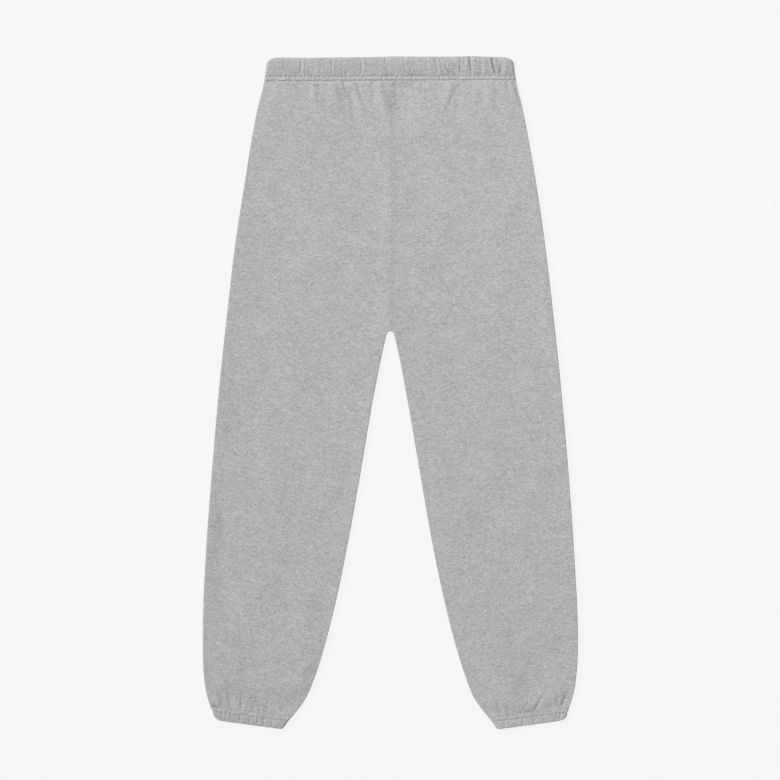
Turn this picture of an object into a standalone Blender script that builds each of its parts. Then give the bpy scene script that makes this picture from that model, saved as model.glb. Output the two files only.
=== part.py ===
"""Jogger sweatpants in heavy fleece, laid flat on their front with the back up.

The surface they lie on is z = 0, +Y points to the waist and the wearer's left is at -X. Two front leg panels
lie on that surface and two back leg panels lie on them. They meet in round folds at the side seams and the
inseams, and edge to edge at the centre seams. A waistband casing and two ankle casings are flattened rings.

Sizes are in millimetres, and MM turns them into Blender's metres. A drop is a distance down from the top
edge of the waist. The first row of each table names its columns.
"""

import math
from collections import namedtuple

import bpy
import numpy as np

MM = 0.001

# Driving dimensions
GARMENT_LENGTH = 1041.0
CROTCH_DROP = 425.3
CLOTH = 2.4
SEAM_GAP = 0.3
LAYER_GAP = 0.6
FOLD_HEIGHT = 8.4
FOLD_REACH = 26.0
WAIST_PUFF = 2.2
WAIST_PUFF_REACH = 75.0
ANKLE_PUFF = 2.0
ANKLE_PUFF_REACH = 70.0
CASING_GAP = 0.8
CORNER_REACH = 30.0
WALL_BELOW_PLEATS = 0.2

# The outline of the hips and the outer legs
SIDE_SEAMS = (
    ("drop", "left", "right"),
    (34.0, -194.2, 194.0),
    (50.0, -197.8, 197.0),
    (76.0, -204.6, 203.6),
    (122.0, -213.7, 212.8),
    (192.0, -225.2, 225.0),
    (285.0, -239.6, 238.8),
    (400.0, -253.1, 252.4),
    (517.0, -265.6, 264.7),
    (656.0, -277.5, 276.7),
    (796.0, -287.3, 286.2),
    (865.0, -290.1, 289.8),
    (912.0, -290.4, 290.4),
    (958.0, -288.8, 288.0),
    (989.0, -284.0, 282.8),
    (1010.0, -277.3, 276.0),
)

# The seam down the middle of the back, and of the front under it
CENTRE_SEAM = (
    ("drop", "x"),
    (34.0, 1.8),
    (120.0, 2.0),
    (240.0, 3.0),
    (330.0, 1.6),
    (CROTCH_DROP, -0.4),
)

# The outline of the inner legs
INSEAMS = (
    ("drop", "left", "right"),
    (CROTCH_DROP, -0.4, -0.4),
    (427.0, -4.2, 3.6),
    (430.5, -5.7, 5.2),
    (440.0, -8.1, 7.8),
    (471.0, -14.8, 14.7),
    (517.0, -24.0, 23.4),
    (656.0, -48.0, 47.5),
    (749.0, -64.8, 63.8),
    (842.0, -83.8, 83.2),
    (912.0, -101.5, 100.9),
    (958.0, -115.8, 115.2),
    (998.0, -133.8, 133.2),
    (1025.0, -154.9, 154.9),
)
CROTCH_ARCH_END = 430.5

# The two ends of a casing's sewn line and of its free edge, as (x, drop), the radii that round off the
# corners of its free edge, and the thickness of its wall
CASINGS = (
    ("name", "left_seam", "right_seam", "left_free", "right_free", "left_radius", "right_radius", "wall"),
    ("waistband", (-194.5, 37.0), (194.3, 35.6), (-193.6, 1.3), (193.4, 0.0), 11.0, 11.0, 4.6),
    ("cuff_left", (-278.5, 1006.4), (-152.1, 1021.4), (-273.9, 1027.0), (-165.9, 1041.4), 8.0, 1.5, 4.2),
    ("cuff_right", (152.2, 1021.2), (277.2, 1006.7), (166.6, 1041.4), (272.8, 1027.0), 1.5, 8.0, 4.2),
)

# Section through a casing's wall: the share of its depth from the seam, and the share of its thickness. It
# runs up the outer face, round the fold at the free edge and back down the inner face.
WAISTBAND_SECTION = (
    ("depth", "thickness"),
    (0.0, 0.62),
    (0.03, 0.86),
    (0.1, 0.92),
    (0.19, 0.76),
    (0.32, 0.92),
    (0.62, 1.0),
    (0.9, 0.92),
    (0.98, 0.72),
    (1.0, 0.5),
    (0.98, 0.2),
    (0.88, 0.0),
    (0.04, 0.0),
)
CUFF_SECTION = (
    ("depth", "thickness"),
    (0.0, 0.6),
    (0.1, 0.92),
    (0.33, 0.8),
    (0.6, 1.0),
    (0.9, 0.9),
    (1.0, 0.5),
    (0.9, 0.0),
    (0.06, 0.0),
)
OUTER_FACE_FROM = 0.7

# Pleats of the casings: where each crosses the middle of its casing, how far it leans from the seam to the
# free edge, its depth and its half width
PLEATS = (
    ("casing", "x", "lean", "depth", "half_width"),
    ("waistband", -137.5, 4.0, 1.3, 5.0),
    ("waistband", -112.0, 0.0, 0.5, 5.0),
    ("waistband", -90.5, 0.0, 0.9, 5.0),
    ("waistband", -68.0, -3.0, 0.5, 5.0),
    ("waistband", -45.5, 0.0, 0.8, 5.0),
    ("waistband", -8.0, 0.0, 0.6, 4.5),
    ("waistband", 25.0, -8.0, 1.0, 5.0),
    ("waistband", 51.5, 0.0, 0.5, 5.0),
    ("waistband", 84.0, -12.0, 0.9, 5.0),
    ("waistband", 104.5, 0.0, 0.6, 4.5),
    ("waistband", 124.0, 0.0, 1.4, 4.5),
    ("waistband", 140.5, 0.0, 0.8, 4.5),
    ("waistband", 160.5, -6.0, 1.6, 4.5),
    ("cuff_left", -256.0, 0.0, 0.6, 4.0),
    ("cuff_left", -234.5, 0.0, 0.5, 4.0),
    ("cuff_left", -218.5, 0.0, 1.0, 4.0),
    ("cuff_left", -197.0, 0.0, 1.0, 4.0),
    ("cuff_left", -184.0, 0.0, 0.6, 4.0),
    ("cuff_right", 177.5, 0.0, 0.6, 4.0),
    ("cuff_right", 201.5, 0.0, 1.1, 4.0),
    ("cuff_right", 221.5, 0.0, 0.6, 4.0),
    ("cuff_right", 238.0, 0.0, 0.5, 4.0),
    ("cuff_right", 255.5, 0.0, 1.0, 4.0),
)
PLEAT_SHOULDER = 1.4

# Gathers of the back panels: where each leaves its casing, where it dies away, its height (a trough is below
# nought) and its half width
GATHERS = (
    ("x", "drop", "end_x", "end_drop", "height", "half_width"),
    (-118.0, 36.0, -116.0, 96.0, 0.6, 9.0),
    (-100.0, 36.0, -84.0, 84.0, 0.9, 9.0),
    (-75.0, 36.0, -48.0, 150.0, -1.5, 9.0),
    (-57.0, 36.0, -33.0, 110.0, 1.3, 9.0),
    (-38.0, 36.0, -20.0, 100.0, -0.9, 7.0),
    (-22.0, 36.0, -2.0, 110.0, 1.3, 8.0),
    (-2.0, 36.0, 0.0, 96.0, -1.6, 8.0),
    (42.0, 36.0, 16.0, 76.0, -0.8, 8.0),
    (88.0, 36.0, 62.0, 120.0, 0.8, 11.0),
    (106.0, 36.0, 72.0, 130.0, -1.5, 9.0),
    (126.0, 36.0, 96.0, 140.0, 1.0, 12.0),
    (158.0, 36.0, 161.0, 96.0, -0.8, 8.0),
    (-248.5, 1014.0, -252.5, 975.0, -0.9, 6.0),
    (-232.5, 1016.0, -232.0, 978.0, -0.8, 6.0),
    (-191.0, 1020.0, -190.0, 985.0, -0.8, 6.0),
    (163.0, 1023.0, 154.0, 980.0, -0.8, 7.0),
    (215.0, 1018.0, 243.0, 958.0, -1.3, 8.0),
    (264.0, 1011.0, 279.0, 970.0, -0.9, 6.0),
)

# Where the faceted walls have their rows and columns
HIP_ROWS = (43.0, 51.0, 61.0, 73.0, 88.0, 107.0, 132.0, 168.0, 220.0, 285.0, 352.0, 400.0)
CROTCH_ROWS = (CROTCH_DROP, 427.0, CROTCH_ARCH_END, 440.0)
LEG_ROWS = (471.0, 530.0, 610.0, 700.0, 790.0, 865.0, 920.0, 955.0, 978.0, 995.0)
BACK_MIDDLE_COLUMNS = 16
FRONT_MIDDLE_COLUMNS = 4
FOLD_ANGLES = (0.0, 30.0, 60.0, 90.0)
FOLD_EASINGS = (0.4, 1.0)
CASING_FOLD_ANGLES = (60.0, 30.0, 0.0, -30.0, -60.0)
CASING_LOWER_STATIONS = 12

FLEECE_COLOUR = (0.46, 0.46, 0.46)
FLEECE_ROUGHNESS = 0.95
CREASE_ANGLE = 50.0


def rows_of(table):
    """The rows of a table, each with its columns as named values."""
    row = namedtuple("Row", table[0])
    return [row(*values) for values in table[1:]]


def column_of(table, name):
    """One column of a table of numbers."""
    return np.array([getattr(row, name) for row in rows_of(table)])


def curve_through(table, name, drop):
    """A smooth curve through one column of a table, against its drop: a cubic between each two rows, whose
    slope at a row comes from the rows beside it."""
    drops, values = column_of(table, "drop"), column_of(table, name)
    slopes = np.gradient(values, drops)
    drop = np.clip(drop, drops[0], drops[-1])
    row = np.clip(np.searchsorted(drops, drop) - 1, 0, len(drops) - 2)
    step = drops[row + 1] - drops[row]
    t = (drop - drops[row]) / step
    start = (1 + 2 * t) * (1 - t) ** 2 * values[row] + t * (1 - t) ** 2 * step * slopes[row]
    end = t**2 * (3 - 2 * t) * values[row + 1] - t**2 * (1 - t) * step * slopes[row + 1]
    return start + end


def fading(distance, reach):
    """1 at no distance, easing to 0 at the reach."""
    t = np.clip(distance / reach, 0.0, 1.0)
    return (1 - t) ** 2 * (1 + 2 * t)


def drop_on_line(start, end, x):
    """The drop, at x, of the straight line between two (x, drop) points."""
    return start[1] + (end[1] - start[1]) * (x - start[0]) / (end[0] - start[0])


def add_piece(name, points, faces):
    """Adds one closed piece of fleece. The points are (x, drop, z) in millimetres."""
    x, drop, z = points.reshape(-1, 3).T
    placed = np.stack([x, GARMENT_LENGTH / 2 - drop, z], axis=1) * MM
    mesh = bpy.data.meshes.new(name)
    mesh.from_pydata(placed.tolist(), [], faces)
    mesh.update()
    mesh.shade_smooth()
    mesh.set_sharp_from_angle(angle=math.radians(CREASE_ANGLE))
    material = bpy.data.materials.new(name + "_fleece")
    material.use_nodes = True
    shader = material.node_tree.nodes["Principled BSDF"]
    shader.inputs["Base Color"].default_value = (*FLEECE_COLOUR, 1.0)
    shader.inputs["Roughness"].default_value = FLEECE_ROUGHNESS
    shader.inputs["Metallic"].default_value = 0.0
    mesh.materials.append(material)
    bpy.context.scene.collection.objects.link(bpy.data.objects.new(name, mesh))


def quads(index, turned):
    """Faces between neighbouring points of a grid of point numbers."""
    a, b, c, d = index[:-1, :-1], index[:-1, 1:], index[1:, 1:], index[1:, :-1]
    corners = (a, d, c, b) if turned else (a, b, c, d)
    return np.stack([corner.ravel() for corner in corners], axis=1).tolist()


# Leg panels


def back_level(drop):
    """Height of the back's outer face away from the folds: two layers, puffed up where they are gathered."""
    waist = WAIST_PUFF * fading(drop - waistband.left_seam[1], WAIST_PUFF_REACH)
    ankle = ANKLE_PUFF * fading(cuff_left.left_seam[1] - drop, ANKLE_PUFF_REACH)
    return 2 * CLOTH + LAYER_GAP + waist + ankle


def gathered(x, drop):
    """Height that the gathers add at each point: each is a bell across, and fades towards its end."""
    height = np.zeros_like(x)
    for gather in rows_of(GATHERS):
        share = np.clip((drop - gather.drop) / (gather.end_drop - gather.drop), 0.0, 1.0)
        middle = gather.x + (gather.end_x - gather.x) * share
        bell = np.exp(-(((x - middle) / gather.half_width) ** 2))
        height += gather.height * fading(share, 1.0) * bell
    return height


def panel_rows(side):
    """The outer and inner end of each row of a leg panel, as (x, drop), and how far the inner end is folded.

    The rows run level at the hips and lean more and more down the leg, to lie along the ankle casing.
    """
    name = "left" if side < 0 else "right"
    waist_outer = waistband.left_seam if side < 0 else waistband.right_seam
    cuff = cuff_left if side < 0 else cuff_right
    cuff_outer, cuff_inner = cuff.left_seam, cuff.right_seam
    if side > 0:
        cuff_outer, cuff_inner = cuff_inner, cuff_outer
    first, last = waist_outer[1] + SEAM_GAP, cuff_outer[1] - SEAM_GAP
    outer_drop = np.array([first, *HIP_ROWS, *CROTCH_ROWS, *LEG_ROWS, last])
    lean = np.clip((outer_drop - CROTCH_ARCH_END) / (last - CROTCH_ARCH_END), 0.0, 1.0) ** 1.5
    inner_drop = outer_drop + lean * (cuff_inner[1] - cuff_outer[1])
    seam_top_x = column_of(CENTRE_SEAM, "x")[0]
    inner_drop[0] = drop_on_line(waistband.left_seam, waistband.right_seam, seam_top_x) + SEAM_GAP
    seam_x = curve_through(CENTRE_SEAM, "x", inner_drop) + side * SEAM_GAP / 2
    inseam_x = curve_through(INSEAMS, name, inner_drop)
    inner_x = np.where(inner_drop <= CROTCH_DROP, seam_x, inseam_x)
    folded = np.clip((inner_drop - CROTCH_DROP) / (CROTCH_ARCH_END - CROTCH_DROP), 0.0, 1.0)
    outer = np.column_stack([curve_through(SIDE_SEAMS, name, outer_drop), outer_drop])
    return outer, np.column_stack([inner_x, inner_drop]), folded


def fold_section(level, is_back):
    """Section through the cloth beside a fold, for one row of a panel, from the fold's edge inwards.

    Returns the distance from the edge and the height of the outer face, then of the inner face. The outer
    face turns through a quarter circle whose diameter is the fold's height, and the back's then eases down
    to its level.
    """
    radius = FOLD_HEIGHT / 2
    inner_radius = radius - CLOTH
    angle = np.radians(FOLD_ANGLES)
    edge, inner_edge = radius * (1 - np.cos(angle)), radius - inner_radius * np.cos(angle)
    rise = np.maximum(radius * np.sin(angle), SEAM_GAP / 2)
    inner_rise = np.maximum(inner_radius * np.sin(angle), SEAM_GAP / 2)
    easing = np.array(FOLD_EASINGS)
    eased = radius + easing * (FOLD_REACH - radius)
    if is_back:
        flat = level + (FOLD_HEIGHT - level) * fading(easing, 1.0)
        outer_z = np.concatenate([radius + rise, flat])
        inner_z = np.concatenate([radius + inner_rise, flat - CLOTH])
    else:
        outer_z = np.concatenate([radius - rise, np.zeros(len(easing))])
        inner_z = np.concatenate([radius - inner_rise, np.full(len(easing), CLOTH)])
    return np.concatenate([edge, eased]), outer_z, np.concatenate([inner_edge, eased]), inner_z


def panel_row(outer, inner, folded, is_back):
    """One row of a panel's outer face and of its inner face, as (x, drop, z) from the side seam inwards."""
    level = back_level(outer[1]) if is_back else 0.0
    inner_level = level - CLOTH if is_back else CLOTH
    width = np.linalg.norm(inner - outer)
    edge, edge_z, wall, wall_z = fold_section(level, is_back)
    columns = BACK_MIDDLE_COLUMNS if is_back else FRONT_MIDDLE_COLUMNS
    middle = np.linspace(edge[-1], width - edge[-1], columns + 2)[1:-1]
    far_wall = folded * wall + (1 - folded) * edge
    far_z = folded * edge_z + (1 - folded) * level
    far_wall_z = folded * wall_z + (1 - folded) * inner_level
    faces = []
    for reach, z in (
        ((edge, middle, width - edge[::-1]), (edge_z, np.full(columns, level), far_z[::-1])),
        ((wall, middle, width - far_wall[::-1]), (wall_z, np.full(columns, inner_level), far_wall_z[::-1])),
    ):
        plan = outer + np.concatenate(reach)[:, None] * (inner - outer) / width
        faces.append(np.column_stack([plan, np.concatenate(z)]))
    return faces


def leg_panel(name, side, is_back):
    """One leg panel: a wall of cloth between the side seam and the centre seam or inseam."""
    outer, inner, folded = panel_rows(side)
    rows = [panel_row(*ends, is_back) for ends in zip(outer, inner, folded)]
    faces = np.array(rows).transpose(1, 0, 2, 3)
    if is_back:
        lift = gathered(faces[0, ..., 0], faces[0, ..., 1])
        lift[:, : len(FOLD_ANGLES)] = 0.0
        lift[:, -len(FOLD_ANGLES) :] *= 1 - folded[:, None]
        room = np.minimum(2 * CLOTH + SEAM_GAP - faces[0, ..., 2], 0.0)
        faces[..., 2] += np.maximum(lift, room)
    index = np.arange(faces[..., 0].size).reshape(faces.shape[:3])
    turned = (side < 0) == is_back
    skin = quads(index[0], turned) + quads(index[1], not turned)
    rims = quads(index[:, 0], not turned) + quads(index[:, -1], turned)
    rims += quads(index[:, :, 0], turned) + quads(index[:, :, -1], not turned)
    add_piece(name, faces, skin + rims)


# Waistband and ankle casings


def casing_stations(length, radius, pleats, left_x):
    """Stations round a flattened ring, each a distance from its left end and an angle.

    On the upper layer, at 90 degrees, there is one in the middle of each pleat and one at each shoulder. On
    the lower layer, at -90 degrees, there are few.
    """
    marks = [radius, length - radius]
    for pleat in pleats:
        shoulder = PLEAT_SHOULDER * pleat.half_width
        marks += [pleat.x - left_x + side * shoulder for side in (-1, 0, 1)]
    spaced = [radius]
    for mark in sorted(mark for mark in marks if mark <= length - radius):
        if mark - spaced[-1] > 1.5:
            spaced.append(mark)
    upper = [(mark, 90.0) for mark in spaced]
    right_fold = [(length, angle) for angle in CASING_FOLD_ANGLES]
    lower = [(mark, -90.0) for mark in np.linspace(length - radius, radius, CASING_LOWER_STATIONS)]
    left_fold = [(0.0, angle) for angle in CASING_FOLD_ANGLES[::-1]]
    return upper + right_fold + lower + left_fold


def corner_rounding(depth_share, depth, corner_radius):
    """How far each point of the section moves in at an end, so that a quarter circle rounds the corner."""
    near = np.clip(1 - (1 - depth_share) * depth / corner_radius, 0.0, 1.0)
    return corner_radius * (1 - np.sqrt(1 - near**2))


def casing(shape, section):
    """A folded casing as a flattened ring: its section is carried along the upper layer, round the fold at
    the right end, back along the lower layer and round the fold at the left end."""
    left_seam, right_seam = np.array(shape.left_seam), np.array(shape.right_seam)
    left_free, right_free = np.array(shape.left_free), np.array(shape.right_free)
    pleats = [pleat for pleat in rows_of(PLEATS) if pleat.casing == shape.name]
    depth_share, thickness = column_of(section, "depth"), column_of(section, "thickness")
    pleated = np.clip(thickness - WALL_BELOW_PLEATS, 0.0, 1.0)
    lying = np.where(thickness > OUTER_FACE_FROM, 1.0, thickness)
    radius = shape.wall + CASING_GAP / 2
    length = np.linalg.norm(right_seam - left_seam)
    depth = np.linalg.norm(left_free - left_seam)
    left_end = left_seam + depth_share[:, None] * (left_free - left_seam)
    right_end = right_seam + depth_share[:, None] * (right_free - right_seam)
    along = (right_end - left_end) / np.linalg.norm(right_end - left_end, axis=1)[:, None]
    left_pull = corner_rounding(depth_share, depth, shape.left_radius)
    right_pull = corner_rounding(depth_share, depth, shape.right_radius)
    points = []
    for mark, angle in casing_stations(length, radius, pleats, left_seam[0]):
        turn = math.radians(angle)
        upper = max(math.sin(turn), 0.0)
        pull = left_pull * fading(mark, CORNER_REACH) - right_pull * fading(length - mark, CORNER_REACH)
        plan = left_end + (right_end - left_end) * mark / length + pull[:, None] * along
        depths = np.zeros(len(thickness))
        for pleat in pleats:
            middle = pleat.x + pleat.lean * (depth_share - 0.5)
            depths += pleat.depth * np.exp(-(((plan[:, 0] - middle) / pleat.half_width) ** 2))
        wall = shape.wall * (upper * thickness + (1 - upper) * lying) - upper * depths * pleated
        reach = CASING_GAP / 2 + wall
        if abs(angle) < 90.0:
            inward = radius - reach * math.cos(turn)
            plan = plan + (inward if mark == 0.0 else -inward)[:, None] * along
        points.append(np.column_stack([plan, radius + reach * math.sin(turn)]))
    ring = np.arange(len(points) * len(thickness)).reshape(len(points), len(thickness))
    ring = np.pad(ring, ((0, 1), (0, 1)), mode="wrap")
    add_piece(shape.name, np.array(points), quads(ring, left_free[1] < left_seam[1]))


for old in list(bpy.data.objects):
    bpy.data.objects.remove(old, do_unlink=True)

waistband, cuff_left, cuff_right = rows_of(CASINGS)

leg_panel("front_left", -1, False)
leg_panel("front_right", 1, False)
leg_panel("back_left", -1, True)
leg_panel("back_right", 1, True)
casing(waistband, WAISTBAND_SECTION)
casing(cuff_left, CUFF_SECTION)
casing(cuff_right, CUFF_SECTION)
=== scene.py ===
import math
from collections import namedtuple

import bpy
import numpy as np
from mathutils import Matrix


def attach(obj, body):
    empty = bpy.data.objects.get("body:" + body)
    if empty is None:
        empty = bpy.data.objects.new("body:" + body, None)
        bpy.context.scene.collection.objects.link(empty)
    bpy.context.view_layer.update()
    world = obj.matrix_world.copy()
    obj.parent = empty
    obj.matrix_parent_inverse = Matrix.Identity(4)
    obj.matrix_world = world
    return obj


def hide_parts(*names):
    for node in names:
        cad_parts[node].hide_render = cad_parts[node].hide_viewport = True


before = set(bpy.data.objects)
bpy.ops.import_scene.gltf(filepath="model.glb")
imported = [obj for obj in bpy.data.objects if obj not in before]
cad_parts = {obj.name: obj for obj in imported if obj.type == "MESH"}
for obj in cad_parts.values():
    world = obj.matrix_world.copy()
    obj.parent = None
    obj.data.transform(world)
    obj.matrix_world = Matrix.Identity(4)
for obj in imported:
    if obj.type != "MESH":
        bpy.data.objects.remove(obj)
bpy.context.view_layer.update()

# Jogger sweatpants in heather grey fleece, laid flat on their front with the back up.
#
# Each leg panel and casing is a thin closed shell of cloth, worked out on a grid from its outline, the folds
# at its edges, its seams and its gathers. Sizes are in millimetres, and MM turns them into metres. A drop is
# a distance down from the top edge of the waist, and left and right are as seen from above. The first row of
# each table names its columns.

MM = 0.001

GARMENT_LENGTH = 1041.0
CROTCH_DROP, ARCH_END = 425.3, 430.5

# The cloth's thickness and the front's least wall, the heights of the back's outer face, of its lowest trough
# and of the middle between the layers, how far apart these stay, and the gap where pieces meet
CLOTH, LEAST_WALL = 2.4, 1.2
BACK_LEVEL, LOWEST_BACK, LAYER_MIDDLE = 5.4, 4.4, 2.7
LAYER_GAP = 0.1
MEETING_GAP = 0.06

# A fold at a panel's edge: its quarter ellipse, how far it eases out into the panel, the cloth's thickness
# at it, and how far from it gathers and waves set in
FOLD_WIDTH, FOLD_HEIGHT = 0.7, 3.2
FOLD_REACH, FOLD_CLOTH = 26.0, 1.4
GATHER_EASE, WAVE_EASE = 6.0, 22.0

# The share by which the back's folds are pressed flat, or fuller below nought: on the inseams, setting in
# below the arch, and on the side seams round a drop, out to a reach
PRESSED_INSEAMS = {"left": 0.0, "right": 0.6}
INSEAM_PRESS_EASE = 70.0
PRESSED_SIDES = {"left": (-0.55, 905.0, 210.0), "right": (0.2, 830.0, 300.0)}

# The centre seam of the back: its swell, whose crest lies beside it and which is less near the waistband,
# its pinches and ripples, which are strong down to a drop and ease to their least share, and where it ends
SWELL_HEIGHT, SWELL_OFFSET = 1.2, 3.0
SWELL_WIDTHS = (14.0, 7.5)
SWELL_CALM, SWELL_CALM_REACH = 0.8, 70.0
SEAM_PINCH, SEAM_WIDTH = 0.5, 1.4
SEAM_STRONG_TO, SEAM_STRONG_EASE, SEAM_LEAST = 270.0, 60.0, 0.45
SEAM_RIPPLES_AT, SEAM_RIPPLES_WIDTH = 3.5, 3.0
SEAM_END, SEAM_END_REACH = 34.0, 30.0

# Pinches beside the casings, how far the front rises at its seams, and how a panel's edge tucks in
BACK_PINCH, FRONT_PINCH = 0.4, 0.5
PINCH_CALM, PINCH_CALM_REACH = 0.8, 3.0
FRONT_RISE, FRONT_RISE_REACH, FRONT_GROOVE = 1.3, 4.5, 1.0
SEAM_TUCK, SEAM_TUCK_WIDTH = 0.45, 0.9

# The outline of the hips and the outer legs
SIDE_SEAMS = (
    ("drop", "left", "right"),
    (34, -194.2, 194), (50, -197.8, 197), (76, -204.6, 203.6), (122, -213.7, 212.8), (192, -225.2, 225),
    (285, -239.6, 238.8), (400, -253.1, 252.4), (517, -265.6, 264.7), (656, -277.5, 276.7),
    (796, -287.3, 286.2), (865, -290.1, 289.8), (912, -290.4, 290.4), (958, -288.8, 288),
    (989, -284, 282.8), (1010, -277.3, 276),
)

# The seam down the middle of the back, and of the front under it
CENTRE_SEAM = (
    ("drop", "x"),
    (34, 1.8), (120, 2), (240, 3), (330, 1.6), (CROTCH_DROP, -0.4),
)

# The outline of the inner legs below the arch at the crotch
INSEAMS = (
    ("drop", "left", "right"),
    (ARCH_END, -5.7, 5.2), (440, -8.1, 7.8), (471, -14.8, 14.7), (517, -24, 23.4), (656, -48, 47.5),
    (749, -64.8, 63.8), (842, -83.8, 83.2), (912, -101.5, 100.9), (958, -115.8, 115.2),
    (998, -133.6, 132.2), (1025, -154.2, 153.2),
)

# The casings: the ends of the sewn line and of the free edge, as (x, drop), the radii of its corners, how far
# the ends lean in there, how much the layer that shows thins towards it, the height, the grid's spacing, the
# share of the depth at which it is stitched, how coarse its gathers are and how far they calm down at the
# free edge, and its seed. Then the back beside it: the fullness, as height, share of it at the seam, crest
# and end; the height at which they meet, and from how far; and how far pinches and ripples reach
CASINGS = (
    ("name", "left_seam", "right_seam", "left_free", "right_free", "radii", "lean", "droop", "height",
     "step", "stitches", "coarseness", "calm", "seed", "fullness", "meeting", "pinches", "ripples"),
    ("waistband", (-195.2, 38.1), (194.3, 36.6), (-194.6, 1.3), (193.9, 0), (10, 11), 5.5, 0, 10,
     0.75, 0.165, 1, 0.8, 31, (2.3, 0.93, 20, 130), (6.65, 5.5), 8, 46),
    ("cuff_left", (-278.9, 1005.4), (-150.7, 1020.4), (-273.2, 1027), (-165.9, 1041.4), (10, 1.5), 0,
     0.5, 9.2, 0.6, 0.39, 0.7, 0.4, 41, (3, 0.1, 42, 240), (6, 4), 7, 34),
    ("cuff_right", (150.5, 1021.6), (277.2, 1007.1), (165.2, 1041.4), (272, 1027), (1.5, 11), 0,
     -0.45, 9.2, 0.6, 0.39, 0.7, 0.4, 51, (1.7, 0.45, 13, 52), (6, 4), 7, 34),
)

# The casings' layers and corners, and the share of the depth over which they are drawn in from the seam.
# Then where their ripples, stitched channel, pinches and lumps lie and die away
CASING_GAP = 0.8
CORNER_REACH, CORNER_LEAN_POWER = 30.0, 1.6
DRAWN_IN_REACH = 0.35
EDGE_CALM_REACH = 3.5
ELASTIC_FROM, ELASTIC_EASE = 0.02, 0.12
CHANNEL_WIDTH = 3.4
RIDGE_PINCH = 0.6
LUMPS_AT, LUMPS_WIDTH = 0.03, 0.05
SEAM_CALM_REACH = 0.04

# Section through a casing's wall: the share of its depth from the seam, and the wall on the layer that shows
# and on the one below. It rises to a narrow ridge, dips at the stitching, swells over the elastic and turns
# round the free edge. The inner face follows.
WAISTBAND_SECTION = (
    ("depth", "upper", "lower"),
    (0, 1.6, 2.4), (0.012, 1.8, 3.2), (0.028, 2.2, 4.2), (0.045, 2.44, 4.6), (0.06, 2.54, 4.6),
    (0.08, 2.5, 4.5), (0.102, 2.2, 4.1), (0.125, 1.8, 3.7), (0.147, 1.54, 3.45), (0.165, 1.45, 3.4),
    (0.18, 1.54, 3.5), (0.197, 1.83, 3.85), (0.217, 2.22, 4.3), (0.245, 2.6, 4.55), (0.3, 2.95, 4.6),
    (0.36, 3.35, 4.6), (0.42, 3.65, 4.6), (0.5, 4, 4.6), (0.58, 4.3, 4.6), (0.66, 4.5, 4.6),
    (0.74, 4.62, 4.6), (0.81, 4.6, 4.6), (0.87, 4.35, 4.45), (0.92, 3.9, 4), (0.96, 3.25, 3.3),
    (0.985, 2.5, 2.6), (1, 1.6, 1.7), (0.993, 0.9, 1),
)
WAISTBAND_INNER = (
    ("depth", "upper", "lower"),
    (0.975, 0.4, 0.4), (0.94, 0.1, 0.1), (0.85, 0, 0), (0.55, 0, 0), (0.25, 0, 0), (0.03, 0, 0),
)
CUFF_SECTION = (
    ("depth", "upper", "lower"),
    (0, 1.25, 2.2), (0.05, 1.27, 2.8), (0.1, 1.36, 3.3), (0.14, 1.5, 3.65), (0.18, 1.7, 3.9),
    (0.22, 1.94, 4.1), (0.26, 2.14, 4.2), (0.285, 2.2, 4.15), (0.31, 2.16, 4), (0.34, 2, 3.7),
    (0.365, 1.86, 3.4), (0.39, 1.8, 3.2), (0.415, 1.84, 3.22), (0.45, 2, 3.4), (0.5, 2.3, 3.75),
    (0.57, 2.6, 4.1), (0.65, 2.75, 4.2), (0.74, 2.8, 4.2), (0.82, 2.8, 4.15), (0.9, 2.75, 3.8),
    (0.95, 2.65, 3.2), (0.975, 2.4, 2.7), (0.99, 1.9, 2.1), (1, 1.2, 1.6), (0.995, 0.6, 0.9),
)
CUFF_INNER = (
    ("depth", "upper", "lower"),
    (0.96, 0.3, 0.3), (0.9, 0, 0), (0.6, 0, 0), (0.3, 0, 0), (0.05, 0, 0),
)

# How far the waistband's top edge stands above the straight line between its ends
TOP_EDGE = (
    ("x", "rise"),
    (-190, -1), (-150, -1), (-137, -1.3), (-100, -1.1), (-60, -0.8), (-30, -0.6), (-10, -0.1), (5, 0.2),
    (30, -0.1), (60, -0.2), (100, -0.2), (112, 0.1), (122, 0.4), (133, -0.1), (146, -0.8), (160, -0.9),
    (172, -1.3), (190, -1.5),
)

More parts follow.
